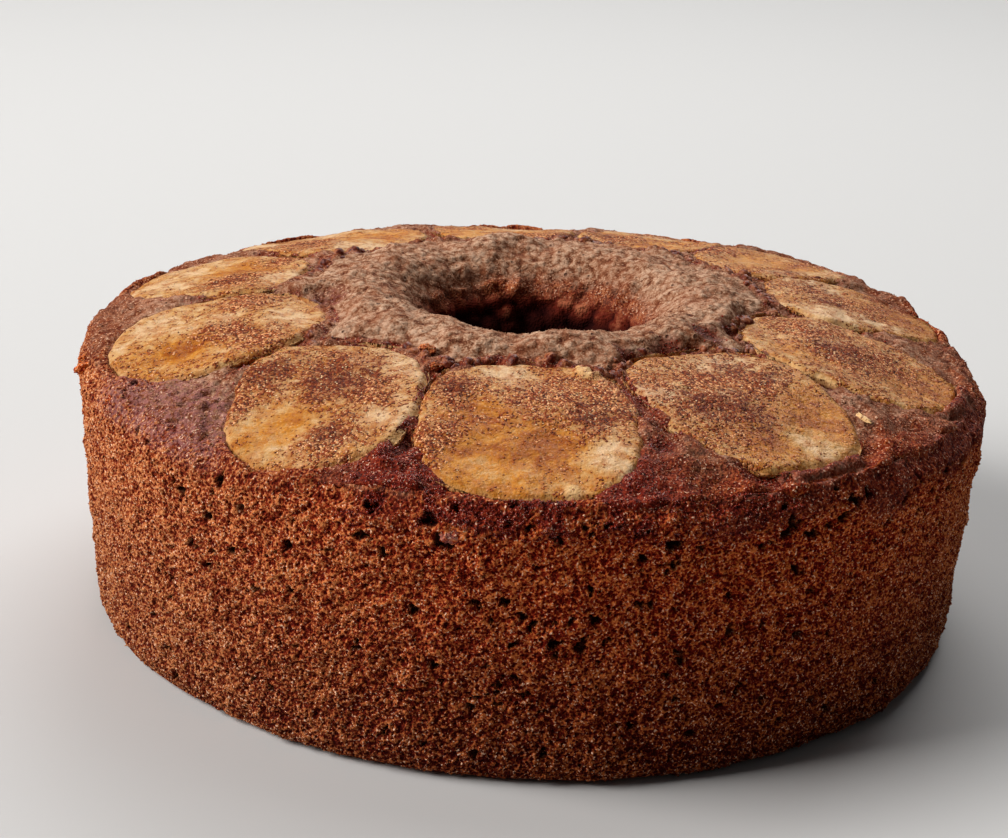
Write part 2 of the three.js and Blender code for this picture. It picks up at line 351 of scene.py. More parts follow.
sideShape = {
    "hub": (88, 42),  # radius and height that the side's outline is measured from
    "inner": 104, "meanRadius": 117,  # the radius where it ends on the shoulder, and on average
    "columns": 2160, "rows": 256, "sectors": 6, "first": 240,
    "border": 44,  # where crumb gives way to crust, in degrees about the hub
    "hollows": 96000, "pores": 700, "caves": 380, "seed": 4,
    # how much of the lighter, browner tone the crumb gets at some bearings: partly painted light and sheen,
    # most on the lit left side, partly browner crumb
    "tan": ((0, 150, 190, 225, 245, 270, 300, 320, 340, 360),
            (0.5, 0.6, 1, 0.9, 0.55, 0.15, 0, 0.15, 0.4, 0.5)),
    # holes of the side: bearing, height, across, high, deep
    "holes": [
        (259.3, 64.5, 3.2, 3.4, 2.6), (261.2, 60, 3.2, 3.4, 2.2), (255, 55.7, 2.6, 2.2, 1.6),
        (272.7, 62, 2.6, 1.8, 1.6), (275.5, 65.4, 2.2, 1.8, 1.4), (277.6, 68, 3.6, 1.6, 1.8),
        (282.2, 64, 2.8, 1.3, 1.5), (285.2, 60.6, 4.2, 2.8, 2.2), (285, 54.8, 2.2, 2, 1.5),
        (270.5, 41.5, 3, 2, 2), (269.5, 43, 2, 2, 1.3), (266.4, 42, 2, 1.6, 1.4),
        (274.6, 43, 2.2, 1.6, 1.4), (277, 43, 3.2, 2, 1.8), (260.2, 29.3, 2.4, 2, 1.5),
        (264.4, 46.4, 2.2, 2, 1.3), (276.2, 36.2, 2.2, 2, 1.4), (273.2, 34.2, 2.4, 1.6, 1.4),
        (267.6, 25.8, 2.2, 1.8, 1.4), (258, 42.2, 2.4, 2, 1.4), (234.4, 63.5, 2.4, 3.4, 1.8),
        (227.8, 57.7, 2.4, 2, 1.4), (232.4, 54, 2.4, 2.2, 1.4), (243.5, 52.2, 3, 2.6, 1.8),
        (252, 59.4, 2.6, 2, 1.5), (252.6, 69.3, 3, 2.2, 2.4), (237.5, 58.6, 2, 2, 1.2),
        (212.8, 38, 2.8, 2, 1.5), (218.4, 41.8, 2.6, 2, 1.5), (219, 69, 3, 1.8, 1.6),
        (222, 69, 2.8, 1.8, 1.6), (299, 62.7, 4.6, 3, 2.4), (301.4, 59, 3.4, 2.2, 1.8),
        (304, 60, 2.4, 2, 1.5), (306, 61.6, 3, 2.8, 2), (307.9, 64.6, 2.6, 3.4, 2.2),
        (309.6, 66.5, 2.6, 2.4, 2), (300.4, 50.7, 3.4, 2.2, 1.8), (303, 44.7, 2.6, 2, 1.5),
        (296, 58.5, 2.4, 1.8, 1.4), (324, 57, 3.4, 2, 1.8), (328.5, 58, 3, 3.2, 1.8),
        (317.4, 52, 2.4, 2, 1.4), (296.7, 37.6, 2.6, 1.6, 1.5), (292.6, 38, 2.4, 1.8, 1.4),
        (316, 62, 2.4, 2, 1.6), (319, 64.5, 2.2, 2.4, 1.6), (322, 61, 2.6, 2, 1.6),
        (325.5, 63.5, 2.2, 2.6, 1.8), (331, 62, 2.4, 3, 1.8), (333.5, 58, 2, 2.4, 1.6),
        (336, 63, 2.2, 2.8, 1.8), (320, 56.5, 2, 1.6, 1.4), (313.5, 57, 2.2, 1.8, 1.4),
        (311.5, 53, 2, 1.6, 1.3)],
}

# stretches of the way round, in degrees: start, full, fade and end
stretches = {
    "skin": (282, 294, 342, 354), "plum": (204, 211, 229, 236), "syrup": (244, 252, 282, 292),
    "collarLeft": (165, 178, 226, 236), "baked": (280, 290, 320, 334), "front": (238, 246, 304, 312),
    "climbing": (203, 209, 224, 234),  # where crumb climbs over the plum patch
}


def sliceOutlines():
    # plan outline of each slice node as outward edge normals and their offsets
    found = []
    for node in sorted(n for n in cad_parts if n.startswith("fruit_slice")):
        plan = np.unique(np.round([v.co[:2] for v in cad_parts[node].data.vertices], 6), axis=0) / mm
        ring = plan[geometry.convex_hull_2d([Vector(p) for p in plan])]
        edge = np.roll(ring, -1, axis=0) - ring
        out = np.column_stack([edge[:, 1], -edge[:, 0]]) / np.linalg.norm(edge, axis=1)[:, None]
        middle = ring.mean(axis=0)
        out *= np.sign(((ring - middle) * out).sum(axis=1))[:, None]
        found.append({"node": node, "ring": ring, "out": out, "offset": (ring * out).sum(axis=1)})
    return found


def beyondOutline(outline, plan):
    # mm outside the slice's outline, negative inside it
    return (plan @ outline["out"].T - outline["offset"]).max(axis=1)


outlines = sliceOutlines()


def bowlTerms(plan):
    # terms of a slightly curved plane
    x, y = (plan / 20).T
    return np.column_stack([np.ones(len(x)), x, y, x * x, x * y, y * y])


def topOf(outline, plan):
    # height of a slice's top, carried on past its edge
    return bowlTerms(plan - outline["middle"]) @ outline["top"]


def nearestSlices(plan):
    # mm to the nearest slice outline and to the next one, and the height of the nearest top
    away = np.column_stack([beyondOutline(o, plan) for o in outlines])
    nearest, ranked = away.argmin(axis=1), np.sort(away, axis=1)
    tops = np.zeros(len(plan))
    for index, outline in enumerate(outlines):
        tops[nearest == index] = topOf(outline, plan[nearest == index])
    return ranked[:, 0], ranked[:, 1], tops


def aboutHub(radius, height):
    # degrees about the hub that the side's outline is measured from
    hubRadius, hubHeight = sideShape["hub"]
    return np.degrees(np.arctan2(height - hubHeight, radius - hubRadius))


def around(bearing, stretch):
    return between(bearing, *stretches[stretch])


def skinOf(bearing, height):
    # the smooth, darker skin below the crust on the right
    return ease(58, 67, height) * around(bearing, "skin")


def tanAndLightOf(bearing):
    # the crumb is browner and less red on the left and redder at the front: partly painted light and sheen
    # where the lamp falls on the left, partly browner crumb
    return np.interp(bearing, *sideShape["tan"])


def plumOf(bearing, radius, height):
    # the greyish patch on the left shoulder
    return around(bearing, "plum") * ease(96, 104, radius) * ease(63, 67.5, height)


def glazeOf(bearing, radius, height):
    # the sticky band under the front slices
    return around(bearing, "syrup") * ease(60, 65, height) * ease(96, 104, radius)


def placesOn(p, n):
    # where each point of the cake lies, and how near the slices are
    at = SimpleNamespace(radius=np.hypot(p[:, 0], p[:, 1]), height=p[:, 2].copy(), up=n[:, 2])
    at.bearing = np.degrees(np.arctan2(p[:, 1], p[:, 0])) % 360
    at.outer = (at.radius > 90) * (at.up > -0.6)
    at.crown = ease(0.3, 0.65, at.up) * ease(24, 30, at.radius)
    at.hole = ease(50, 42, at.radius) * between(at.up, -0.9, -0.5, 0.45, 0.7)
    at.near, at.second, at.tops = (np.full(len(p), 99.0) for _ in range(3))
    top = at.crown > 0
    at.near[top], at.second[top], at.tops[top] = nearestSlices(p[top][:, :2])
    at.open = at.crown * ease(-2, 1.5, at.near)
    at.wander = aboutHub(at.radius, at.height) + rippleOn(at.outer * at.crown, p, (3, 9, 1), (2, 3.5, 2))
    at.under = at.outer * ease(sideShape["border"] + 2, sideShape["border"] - 4, at.wander)
    at.plum = plumOf(at.bearing, at.radius, at.height)
    at.syrup = glazeOf(at.bearing, at.radius, at.height)
    return at


def liftCrust(shape, p, at):
    # mm that each point rises along its normal: folds and pimples, then the crags of the hole
    folds = ease(0.15, 0, np.abs(rippleOn(at.open, p, (1, 11, 6))))
    lift = rippleOn(at.open, p, (0.7, 14, 7), (0.5, 5, 8), (0.25, 2.6, 9)) - 0.25 * folds
    lift = at.open * (lift + 0.5 * knobsOn(at.open, p, 3, 31))
    at.craggy = knobsOn(at.hole, p, 6, 11)
    lift += at.hole * (rippleOn(at.hole, p, (1.2, 7.5, 10), (0.5, 2.2, 12)) + 2.4 * at.craggy - 0.6)
    crumbly = at.open * at.outer * np.maximum(at.plum, at.syrup)
    at.pitted = rippleOn(crumbly, p, (1, 2.6, 19), (0.7, 1.4, 28), (0.4, 7, 27))
    at.pitted = crumbly * ease(0.12, 0.55, at.pitted)
    lift += crumbly * rippleOn(crumbly, p, (0.6, 3, 20), (0.5, 1.7, 21)) - 0.4 * at.pitted

    # the collar of crust about the hole ends in a low cliff, with sticky knobs along its foot
    reach = shape["collar"] + shape["collarLeft"] * around(at.bearing, "collarLeft")
    at.edge = np.minimum(at.near - 2.6, reach - at.radius)
    at.edge += rippleOn(at.crown, p, (1.3, 6, 25), (0.6, 2.5, 26))
    at.collar = ease(-0.7, 0.7, at.edge)
    at.foot = at.crown * between(at.edge, -5.5, -4, -0.4, 1.2) * ease(74, 68, at.radius)
    beside = at.crown * between(at.near, -1, 1, 4, 8) * ease(104, 92, at.radius) * (1 - at.collar)
    at.rows = np.maximum(at.foot, 0.7 * beside)
    at.rows *= np.clip(0.8 + rippleOn(at.rows, p, (0.8, 12, 22)), 0.2, 1)
    at.large, at.little = knobsOn(at.rows, p, 3.8, 13), knobsOn(at.rows, p, 2.3, 23)
    lift += at.rows * (1.7 * at.large + 0.8 * at.little - 1.0)

    high = at.height > 60
    for *spot, amount in shape["dishes"] + shape["knobs"]:
        lift += high * amount * ease(1.15, 0.1, awayFrom(p, *spot))
    at.shaded = at.crown * ease(1.0, 0.3, awayFrom(p, *shape["dishes"][0][:3]))
    at.crevice = np.zeros(len(p))
    for *spot, amount in shape["crevices"]:
        sunk = at.crown * high * amount * ease(1.2, 0.1, awayFrom(p, *spot))
        at.crevice = np.maximum(at.crevice, sunk)
    return lift


def settleBatter(p, at):
    # batter stands against the slices, lapping over their edges here and there, and is low in narrow gaps
    close = (at.crown > 0.02) & (at.near < 7)
    near = at.near[close]
    lap = ripple(p[close], (0.9, 5, 14), (0.5, 2.2, 24))
    gap = ease(7, 3, at.second[close]) * ease(-1, 0.5, near)
    level = at.tops[close] - 0.3 + 0.5 * lap - 1.8 * gap + 0.7 * at.lift[close]
    level -= 1.5 * ease(0.3, -2.2, near + 1.2 * lap)
    inner = at.collar[close] * (near > 0.2) * (at.radius[close] < 66)
    level += inner * np.maximum(p[close, 2] - level, 0)
    share = at.crown[close] * (1 - at.under[close]) * between(near, -4.2, -2.6, 2.5, 6.5)
    p[close, 2] += share * (level - p[close, 2])
    p[:, 2] = np.maximum(p[:, 2] - at.crevice * ease(-1.5, 0.8, at.near), 0)


def bodyMarks(p, at):
    border = sideShape["border"]
    crust = np.maximum(at.crown, at.hole * ease(74, 81, at.height))
    crust *= np.where(at.outer, ease(border - 2, border + 4, at.wander), 1)
    crust *= 1 - 0.8 * ease(36, 29, at.radius)
    crust *= 1 - 0.9 * at.outer * around(at.bearing, "baked") * ease(104, 111, at.radius + 3 * at.lift)
    crust *= 1 - 0.6 * ease(98, 115, at.radius + 4 * at.lift)
    front = around(at.bearing, "front")
    wedge = front * at.crown * ease(17, 11, at.second) * ease(66, 72, at.radius + 3 * at.lift)
    # the crust gives way in the wedges, at the foot of the collar and off it; in the dish on the left that is
    # painted shade
    crust *= (1 - 0.65 * wedge) * (1 - 0.5 * at.foot) * (1 - 0.3 * (1 - at.collar)) * (1 - 0.6 * at.shaded)
    # darker, sticky tone in narrow gaps between slices, in the crevices and low between knobs: partly syrup,
    # partly painted shade
    narrow = np.maximum(at.crown * ease(7, 3, at.second) * ease(4, 0, at.near), at.crevice)
    stickyAndShade = at.rows * ease(0.62, 0.2, np.maximum(at.large, 0.7 * at.little))
    knobby = at.crown * between(at.edge, -3.6, -2.4, -0.4, 0.6) * ease(72, 67, at.radius)
    knobby *= ease(-0.25, 0.25, rippleOn(knobby, p, (1, 16, 29)) + 0.3 * front)
    return {
        # in the hole, rise is low between the crags, painting shade into the cracks
        "rise": 0.6 + rippleOn(at.crown + at.hole, p, (0.25, 2.8, 18)) + at.hole * (0.8 * at.craggy - 0.5),
        "crust": crust,
        "skin": at.crown,
        "pit": np.maximum(0.25 * at.pitted, 0.3 * at.crevice),
        "glaze": np.maximum.reduce([0.9 * at.outer * at.syrup, np.minimum(narrow, 1) * 0.75, stickyAndShade]),
        # the plum tone in the dish on the left is painted shade
        "plum": np.maximum(at.plum, 0.5 * at.shaded),
        # how far down the hole, where painted shade darkens the crumb
        "deep": ease(78, 66, at.height) * ease(45, 38, at.radius),
        "tan": np.maximum(tanAndLightOf(at.bearing), 0.9 * wedge),
        "crusty": at.open * (1 - at.under) * ease(-0.5, 1.5, at.near),
        "knobby": knobby * ease(0.2, 0.9, at.near),
    }


def makeBody(shape, material):
    body, p, n = copiedNode("cake_body", "cake", shape["voxel"])
    print("cake: remeshed,", len(p), "points")
    at = placesOn(p, n)
    at.lift = liftCrust(shape, p, at)
    p += n * (at.lift - shape["inset"] * at.under)[:, None]
    settleBatter(p, at)
    movePoints(body, p)
    marks = bodyMarks(p, at)

    # fewer triangles, each point with the marks of the nearest point before
    before = kdtree.KDTree(len(p))
    for index, point in enumerate(p.tolist()):
        before.insert(point, index)
    before.balance()
    body.data.calc_loop_triangles()
    applied(body, "DECIMATE", ratio=shape["triangles"] / len(body.data.loop_triangles))
    match = np.array([before.find(point)[1] for point in pointsOf(body).tolist()])
    store(body, **{name: value[match] for name, value in marks.items()})
    print("cake: shaped,", len(body.data.polygons), "faces")
    return finished(body, material, "crumb", "cake_body")


def sideOutline(shape):
    # radius and height of the CAD side, every 2 degrees, in even steps from the base over the shoulder
    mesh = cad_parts["cake_body"].data
    tree = BVHTree.FromPolygons([v.co for v in mesh.vertices], [f.vertices[:] for f in mesh.polygons])
    hubRadius, hubHeight = shape["hub"]
    angles = np.radians(np.linspace(-66, 68, 135))
    reach = np.empty((180, len(angles)))
    for index in range(180):
        turn = math.radians(2 * index)
        out = Vector((math.cos(turn), math.sin(turn), 0))
        hub = (out * hubRadius + Vector((0, 0, hubHeight))) * mm
        for k, angle in enumerate(angles):
            ray = out * math.cos(angle) + Vector((0, 0, math.sin(angle)))
            reach[index, k] = tree.ray_cast(hub, ray)[3] / mm
    # the seats of the slices are filled in, so that the shoulder runs on under them
    wide = np.concatenate([reach[-10:], reach, reach[:10]])
    wide = np.array([wide[k:k + 11].max(axis=0) for k in range(len(wide) - 10)])
    reach = np.array([wide[k:k + 11].min(axis=0) for k in range(len(wide) - 10)])
    outline = np.empty((180, 2, shape["rows"]))
    for index in range(180):
        radius, height = hubRadius + reach[index] * np.cos(angles), hubHeight + reach[index] * np.sin(angles)
        kept = (height > 0.4) & ((radius > shape["inner"]) | (height < 50))
        radius, height = np.append(radius[kept][0] - 0.8, radius[kept]), np.append(0, height[kept])
        along = np.append(0, np.cumsum(np.hypot(np.diff(radius), np.diff(height))))
        even = np.linspace(0, along[-1], shape["rows"])
        outline[index] = np.interp(even, along, radius), np.interp(even, along, height)
    return outline


def lumps(grid, step, *layers):
    # smooth noise over the unrolled side, in layers like those of ripple
    across, along = np.fft.fftfreq(grid[0], step)[:, None], np.fft.rfftfreq(grid[1], step)
    found = np.zeros(grid)
    for height, size, seed in layers:
        spectrum = np.fft.rfft2(np.random.default_rng(seed).normal(size=grid))
        field = np.fft.irfft2(spectrum * np.exp(-1.2 * size ** 2 * (across ** 2 + along ** 2)), grid)
        found += height * 0.4 * field / field.std()
    return found


def sinkHollows(depth, warp, step, hollows):
    # presses round hollows into the grid, each as column, row, radius and depth, with wavering outlines
    columns, rows = depth.shape
    for column, row, radius, deep in hollows:
        reach = int(radius * 1.6 / step) + 1
        across = np.arange(int(column) - reach, int(column) + reach + 2) % columns
        along = np.arange(max(0, int(row) - reach), min(rows, int(row) + reach + 2))
        part = np.ix_(across, along)
        offset = (across - column + columns / 2) % columns - columns / 2
        away = (offset[:, None] + warp[0][part]) ** 2 + (along - row + warp[1][part]) ** 2
        depth[part] = np.maximum(depth[part], deep * (1 - away * (step / radius) ** 2))


def clustered(chance, column, row, across, high, deep, step):
    # a ragged hole made of a few hollows, sizes in mm
    for _ in range(3 + int(across * high / 2)):
        aside, above = chance.normal(0, 0.22, 2) * (across, high) / step
        size = min(across, high) / 2 * chance.uniform(0.5, 0.95)
        yield column + aside, row + above, size, 1.25 * deep * chance.uniform(0.7, 1.1)


def sideGrid(shape):
    # the plain side as a grid, columns by rows: points, normals, radius, height and bearing
    outline = sideOutline(shape)
    columns, rows = shape["columns"], shape["rows"]
    bearing = np.arange(columns) * 360 / columns
    known = np.arange(0, 361, 2)
    radius, height = (np.stack([np.interp(bearing, known, np.append(outline[:, k, row], outline[0, k, row]))
                                for row in range(rows)], axis=1) for k in range(2))
    turn = np.radians(bearing)[:, None]
    p = np.stack([radius * np.cos(turn), radius * np.sin(turn), height], axis=2)
    n = np.cross(np.roll(p, -1, axis=0) - np.roll(p, 1, axis=0), np.gradient(p, axis=1))
    n /= np.linalg.norm(n, axis=2)[:, :, None]
    return p, n, radius, height, np.repeat(bearing[:, None], rows, axis=1)


def sideHollows(shape, height, skin, step):
    # depth of the fine pores and of the larger holes, in mm
    chance = np.random.default_rng(shape["seed"])
    columns, rows = grid = height.shape
    warp = [lumps(grid, step, (0.7 / step, 2.4, seed)) for seed in (41, 42)]
    small, caves = np.zeros(grid), np.zeros(grid)
    count = shape["hollows"]
    sizes = 0.34 + 0.42 * chance.random(count) ** 2
    places = chance.random(count) * columns, chance.random(count) * rows
    sinkHollows(small, warp, step, np.column_stack([*places, sizes, sizes * chance.uniform(0.5, 1.1, count)]))
    for count, low, high in ((shape["pores"], 0.9, 1.6), (shape["caves"], 1.7, 2.8)):
        for column, row in zip(chance.random(count) * columns, chance.random(count) * rows):
            across = chance.uniform(low, high)
            if chance.random() > 0.7 * skin[int(column), int(row)]:
                ragged = clustered(chance, column, row, across, across * 0.75, across * 0.65, step)
                sinkHollows(caves, warp, step, ragged)
    for bearing, heightAt, across, high, deep in shape["holes"]:
        column = bearing / 360 * columns
        row = np.argmin(np.abs(height[int(column), :rows * 4 // 5] - heightAt))
        sinkHollows(caves, warp, step, clustered(chance, column, row, across, high, deep, step))
    return small, caves


def sideFaces(wide, rows):
    # faces of one side piece, closed at the back, well inside the cake
    c, r = np.meshgrid(np.arange(wide), np.arange(rows - 1), indexing="ij")
    corner = (c * rows + r).ravel()
    edge = np.arange(wide)
    low, high = edge * rows, edge * rows + rows - 1
    behind, beneath = (wide + 1) * rows + edge, (wide + 1) * (rows + 1) + edge
    faces = np.concatenate([np.column_stack([corner, corner + rows, corner + rows + 1, corner + 1]),
                            np.column_stack([high, high + rows, behind + 1, behind]),
                            np.column_stack([behind, behind + 1, beneath + 1, beneath]),
                            np.column_stack([beneath, beneath + 1, low + rows, low])])
    caps = [list(range(rows - 1, -1, -1)) + [int(beneath[0]), int(behind[0])],
            list(range(wide * rows, (wide + 1) * rows)) + [int(behind[-1]) + 1, int(beneath[-1]) + 1]]
    return faces.tolist() + caps


def makeSides(shape, material):
    p, n, radius, height, bearing = sideGrid(shape)
    columns, rows = grid = height.shape
    step = 2 * math.pi * shape["meanRadius"] / columns
    wavy = height + lumps(grid, step, (5, 21, 40))
    rightSkin = skinOf(bearing, wavy)
    skin = np.maximum(rightSkin, 0.6 * ease(62, 69, wavy))
    small, caves = sideHollows(shape, height, skin, step)

    clumps = lumps(grid, step, (0.2, 2.8, 43), (0.25, 0.9, 44))
    relief = lumps(grid, step, (0.55, 15, 45), (0.45, 6.5, 46))
    relief += (1 - 0.65 * skin) * (clumps - small) - caves
    near, high, border = np.full(grid, 99.0), height > 58, shape["border"]
    near[high] = nearestSlices(p[high][:, :2])[0]
    wander = aboutHub(radius, height) + lumps(grid, step, (3, 9, 47), (2, 3.5, 48))
    wander -= 6 * ease(3.5, 0.5, near) + 9 * around(bearing, "climbing")
    # it dips under the crust and under the slices, with a low bank beside them
    relief -= 0.5 * ease(border - 12, border - 2, wander) * ease(2, 5, near)
    relief -= 2.8 * ease(border - 1, border + 6, wander)
    bank = 0.9 * ease(4.5, 0.8, near) * ease(60, 66, height)
    relief += bank - 3.4 * ease(0.4, -1.2, near)
    relief *= ease(-1, 2.5, height)
    p += n * relief[:, :, None]
    p[:, :, 2] = np.maximum(p[:, :, 2], 0)

    crust = ease(border - 2, border + 4, wander)
    syrup = 0.9 * glazeOf(bearing, radius, height) * ease(-0.3, 0.1, lumps(grid, step, (1, 7, 49)))
    marks = {
        # rise is low in the small hollows, painting shade there
        "rise": 0.74 + 0.6 * clumps - 1.0 * small,
        "crust": crust,
        "skin": skin,
        "pit": caves / 1.15,
        # the sticky band at the front is syrup; on the right shoulder the sticky tone is painted shade
        "glaze": np.maximum(syrup, 0.55 * rightSkin),
        "plum": plumOf(bearing, radius, height),
        "deep": 0 * crust,
        "tan": tanAndLightOf(bearing),
        "crumbly": (1 - crust) * (1 - 0.5 * skin) * np.clip(0.6 + clumps - small - caves, 0, 1),
    }
    wide = columns // shape["sectors"]
    faces, padding = sideFaces(wide, rows), np.zeros(2 * (wide + 1))
    sides = []
    for index in range(shape["sectors"]):
        first = round(shape["first"] / 360 * columns) + index * wide
        mine = np.arange(first, first + wide + 1) % columns
        part = p[mine]
        behind, beneath = part[:, -1] - (0, 0, 6), part[:, 0] * (0.94, 0.94, 0) + (0, 0, 0.3)
        points = np.concatenate([part.reshape(-1, 3), behind, beneath])
        piece = meshPiece("cake_side_%d" % (index + 1), points, faces)
        store(piece, **{name: np.append(value[mine].ravel(), padding) for name, value in marks.items()})
        onWhole(piece, bpy.ops.mesh.normals_make_consistent, inside=False)
        sides.append(finished(piece, material, "crumb"))
    print("sides:", len(sides), "pieces of", len(faces), "faces")
    return sides


sliceLook = {
    "flesh": tones((0, 209, 172, 130), (0.3, 196, 150, 94), (0.62, 190, 123, 42), (1, 142, 70, 8)),
    "spice": tones((0, 66, 13, 4), (0.35, 116, 40, 16), (0.75, 158, 76, 38), (1, 228, 164, 114)),
    "haze": tone(150, 78, 26), "rim": tone(226, 186, 130), "dark": tone(88, 32, 24),
    "shadeAndSoak": tone(128, 62, 18), "stain": tone(168, 100, 44), "fleck": tone(112, 50, 20),
    "glint": tone(246, 212, 164),
    "grain": 0.55,  # mm across a grain of spice
}
sliceMarks = ("edge", "side", "dust", "amber", "dark", "pale")


def sliceMaterial(look):
    material, shader, place = startMaterial("dusted_fruit", Specular_IOR_Level=0.07, Subsurface_Weight=0.05,
                                            Subsurface_Radius=(0.005, 0.0025, 0.001))
    edge, side, dust, amber, dark, pale = (read(place, name) for name in sliceMarks)
    broad, middle, fine = cloud(place, 7, 3), cloud(place, 2.6, 3, 30), cloud(place, 0.8, 2, 60)
    away = cells(place, look["grain"])
    chance, shade = (chanceIn(place, look["grain"], channel) for channel in (0, 1))
    ripe = amber * 0.52 - pale * 0.42 + broad * 0.9 + middle * 0.95 + fine * 0.45 - 0.72
    flesh = coloured(ripe, look["flesh"])
    flesh = (cloud(place, 3.4, 5, 150).ramp(0.47, 0.64) * 0.6).mix(flesh, look["stain"])
    flesh = (edge * 0.7).mix(flesh, look["rim"])
    # the side faces are darker: painted shade, partly syrup soaked into the cut edge
    flesh = (side * 0.45).mix(flesh, look["shadeAndSoak"])
    clump = cloud(place, 1.5, 2, 90)
    thick = dust * 0.75 - pale * 0.3 - amber * 0.36 - edge * 0.25 + 0.26
    thick = thick + (broad - 0.5) * 0.8 + (middle - 0.5) * 1.2 + (clump - 0.5) * 1.5
    flesh = (thick.ramp(-0.2, 0.8) * 0.65).mix(flesh, look["haze"])  # the finest dust only tints
    # each grain of spice is there or not by chance, so thin dust breaks up into single grains
    cover = (thick - chance * 0.9 - away * 0.3 + fine * 0.5 - 0.08).ramp(0.0, 0.2)
    spice = coloured(shade * 1.25 + fine * 0.6 - 0.38 - dark * 0.24, look["spice"])
    colour = (cover * 0.9).mix(flesh, spice)
    colour = (dark * (fine * 0.5 + middle * 0.5).ramp(0.36, 0.6) * 0.65).mix(colour, look["dark"])
    fleck = chanceIn(place, 0.9, 2).ramp(0.88, 0.9) * cells(place, 0.9).ramp(0.2, 0.45, 1, 0)
    colour = (fleck * broad.ramp(0.3, 0.5) * 0.8).mix(colour, look["fleck"])
    glint = chanceIn(place, 0.6, 1).ramp(0.9, 0.91) * cells(place, 0.6).ramp(0.3, 0.45, 1, 0)
    colour = (glint * (0.2 + cover * 0.6)).mix(colour, look["glint"])
    feed(shader, Base_Color=colour, Roughness=0.36 + cover * 0.2 + shade * 0.2,
         Normal=bump(cover * (1.0 - away) * 0.9 + fine * 0.8 + middle * 0.7 + fleck * 0.2, 0.5, 0.9))
    return material


# kinds of patches on a slice, and by chance at the back: count, least and greatest size
patchKinds = {"dust": (4, 0.3, 0.45), "amber": (3, 0.3, 0.5), "dark": (1, 0.12, 0.22), "pale": (3, 0.25, 0.4)}
# lists of each kind in turn: across, inward and size, as shares of the slice's half sizes
slicePatches = {
    "01": ([(-0.67, 0.34, 0.34), (0.54, 0.11, 0.36), (0.1, 0.3, 0.4), (0.75, 0.5, 0.3), (-0.8, -0.2, 0.25)],
           [(-0.32, -0.49, 0.5), (0.1, -0.4, 0.4), (-0.5, 0, 0.3)],
           [(0.6, 0.05, 0.16), (-0.75, 0.4, 0.14)],
           [(-0.2, 0.78, 0.2), (0.66, -0.5, 0.24), (-0.3, -0.62, 0.25)]),
    "02": ([(-0.1, 0.45, 0.36), (-0.35, -0.1, 0.5), (0.3, 0.3, 0.44), (-0.6, 0.35, 0.36)],
           [(0.5, -0.4, 0.4), (-0.2, -0.6, 0.3)],
           [(0.42, 0.42, 0.26), (-0.15, -0.25, 0.26), (-0.5, 0, 0.2)],
           [(-0.85, 0.35, 0.2), (-0.1, 0.1, 0.14), (0.3, 0.75, 0.25), (0.1, -0.75, 0.25)]),
    "03": ([(-0.2, 0.1, 0.5), (0.1, -0.3, 0.5), (0.4, 0.4, 0.35)],
           [(0, -0.75, 0.4), (-0.4, 0.4, 0.3)], [(-0.05, 0.1, 0.26)], [(-0.55, 0.5, 0.3)]),
    "08": ([(0.4, 0.1, 0.4)], [(-0.3, 0.3, 0.4)], [(0.5, 0.1, 0.1)],
           [(-0.3, -0.5, 0.45), (0.2, 0.6, 0.4), (0.6, -0.5, 0.3)]),
    "09": ([(0.35, 0.3, 0.35), (-0.6, 0.5, 0.25)], [(-0.2, 0.1, 0.35)], [(0.4, 0.3, 0.1)],
           [(-0.4, -0.4, 0.5), (0.4, -0.5, 0.4), (0.1, 0.75, 0.3)]),
    "10": ([(0.2, 0.05, 0.3), (0.55, 0.3, 0.26), (-0.6, 0.4, 0.3)], [(0.3, -0.35, 0.25)],
           [(0.3, 0.25, 0.1)], [(-0.4, -0.5, 0.4), (0.1, 0.75, 0.3), (-0.2, 0.1, 0.25)]),
    "11": ([(-0.13, 0.26, 0.42), (-0.76, -0.05, 0.36), (0.3, 0.2, 0.32), (0.45, -0.5, 0.3),
            (-0.6, -0.45, 0.2)], [(-0.1, -0.5, 0.3)],
           [(-0.13, 0.3, 0.36), (0.4, -0.4, 0.16), (-0.7, 0.1, 0.2)],
           [(0.25, 0.8, 0.34), (-0.27, -0.5, 0.3), (0.73, 0, 0.24), (0.05, -0.6, 0.25)]),
}
sliceShape = {
    "voxel": 0.6, "sink": 0.9, "dish": 0.3, "taper": 0.8, "waver": 1.4, "swell": 0.9,
    # torn corners: x, y, across, height
    "torn": {"01": [(12.4, -63.4, 3.6, 1.1), (8.5, -112.5, 2.6, 0.4)], "02": [(33.5, -66, 2.8, 0.5)]},
}


def patchMarks(number, seed, p, u, v):
    # the patches of a slice, with wavering outlines
    chance = np.random.default_rng(seed)
    patches = slicePatches.get(number) or [
        [(*chance.uniform(-0.75, 0.75, 2), chance.uniform(low, high)) for _ in range(count)]
        for count, low, high in patchKinds.values()]
    u, v = u + ripple(p, (0.16, 8, seed + 120)), v + ripple(p, (0.16, 8, seed + 140))
    marks = {}
    for kind, spots in zip(patchKinds, patches):
        marks[kind] = np.zeros(len(p))
        for right, inwards, size in spots:
            away = (u - right) ** 2 + (v - inwards) ** 2
            marks[kind] = np.maximum(marks[kind], np.exp(-away / size ** 2))
    return marks


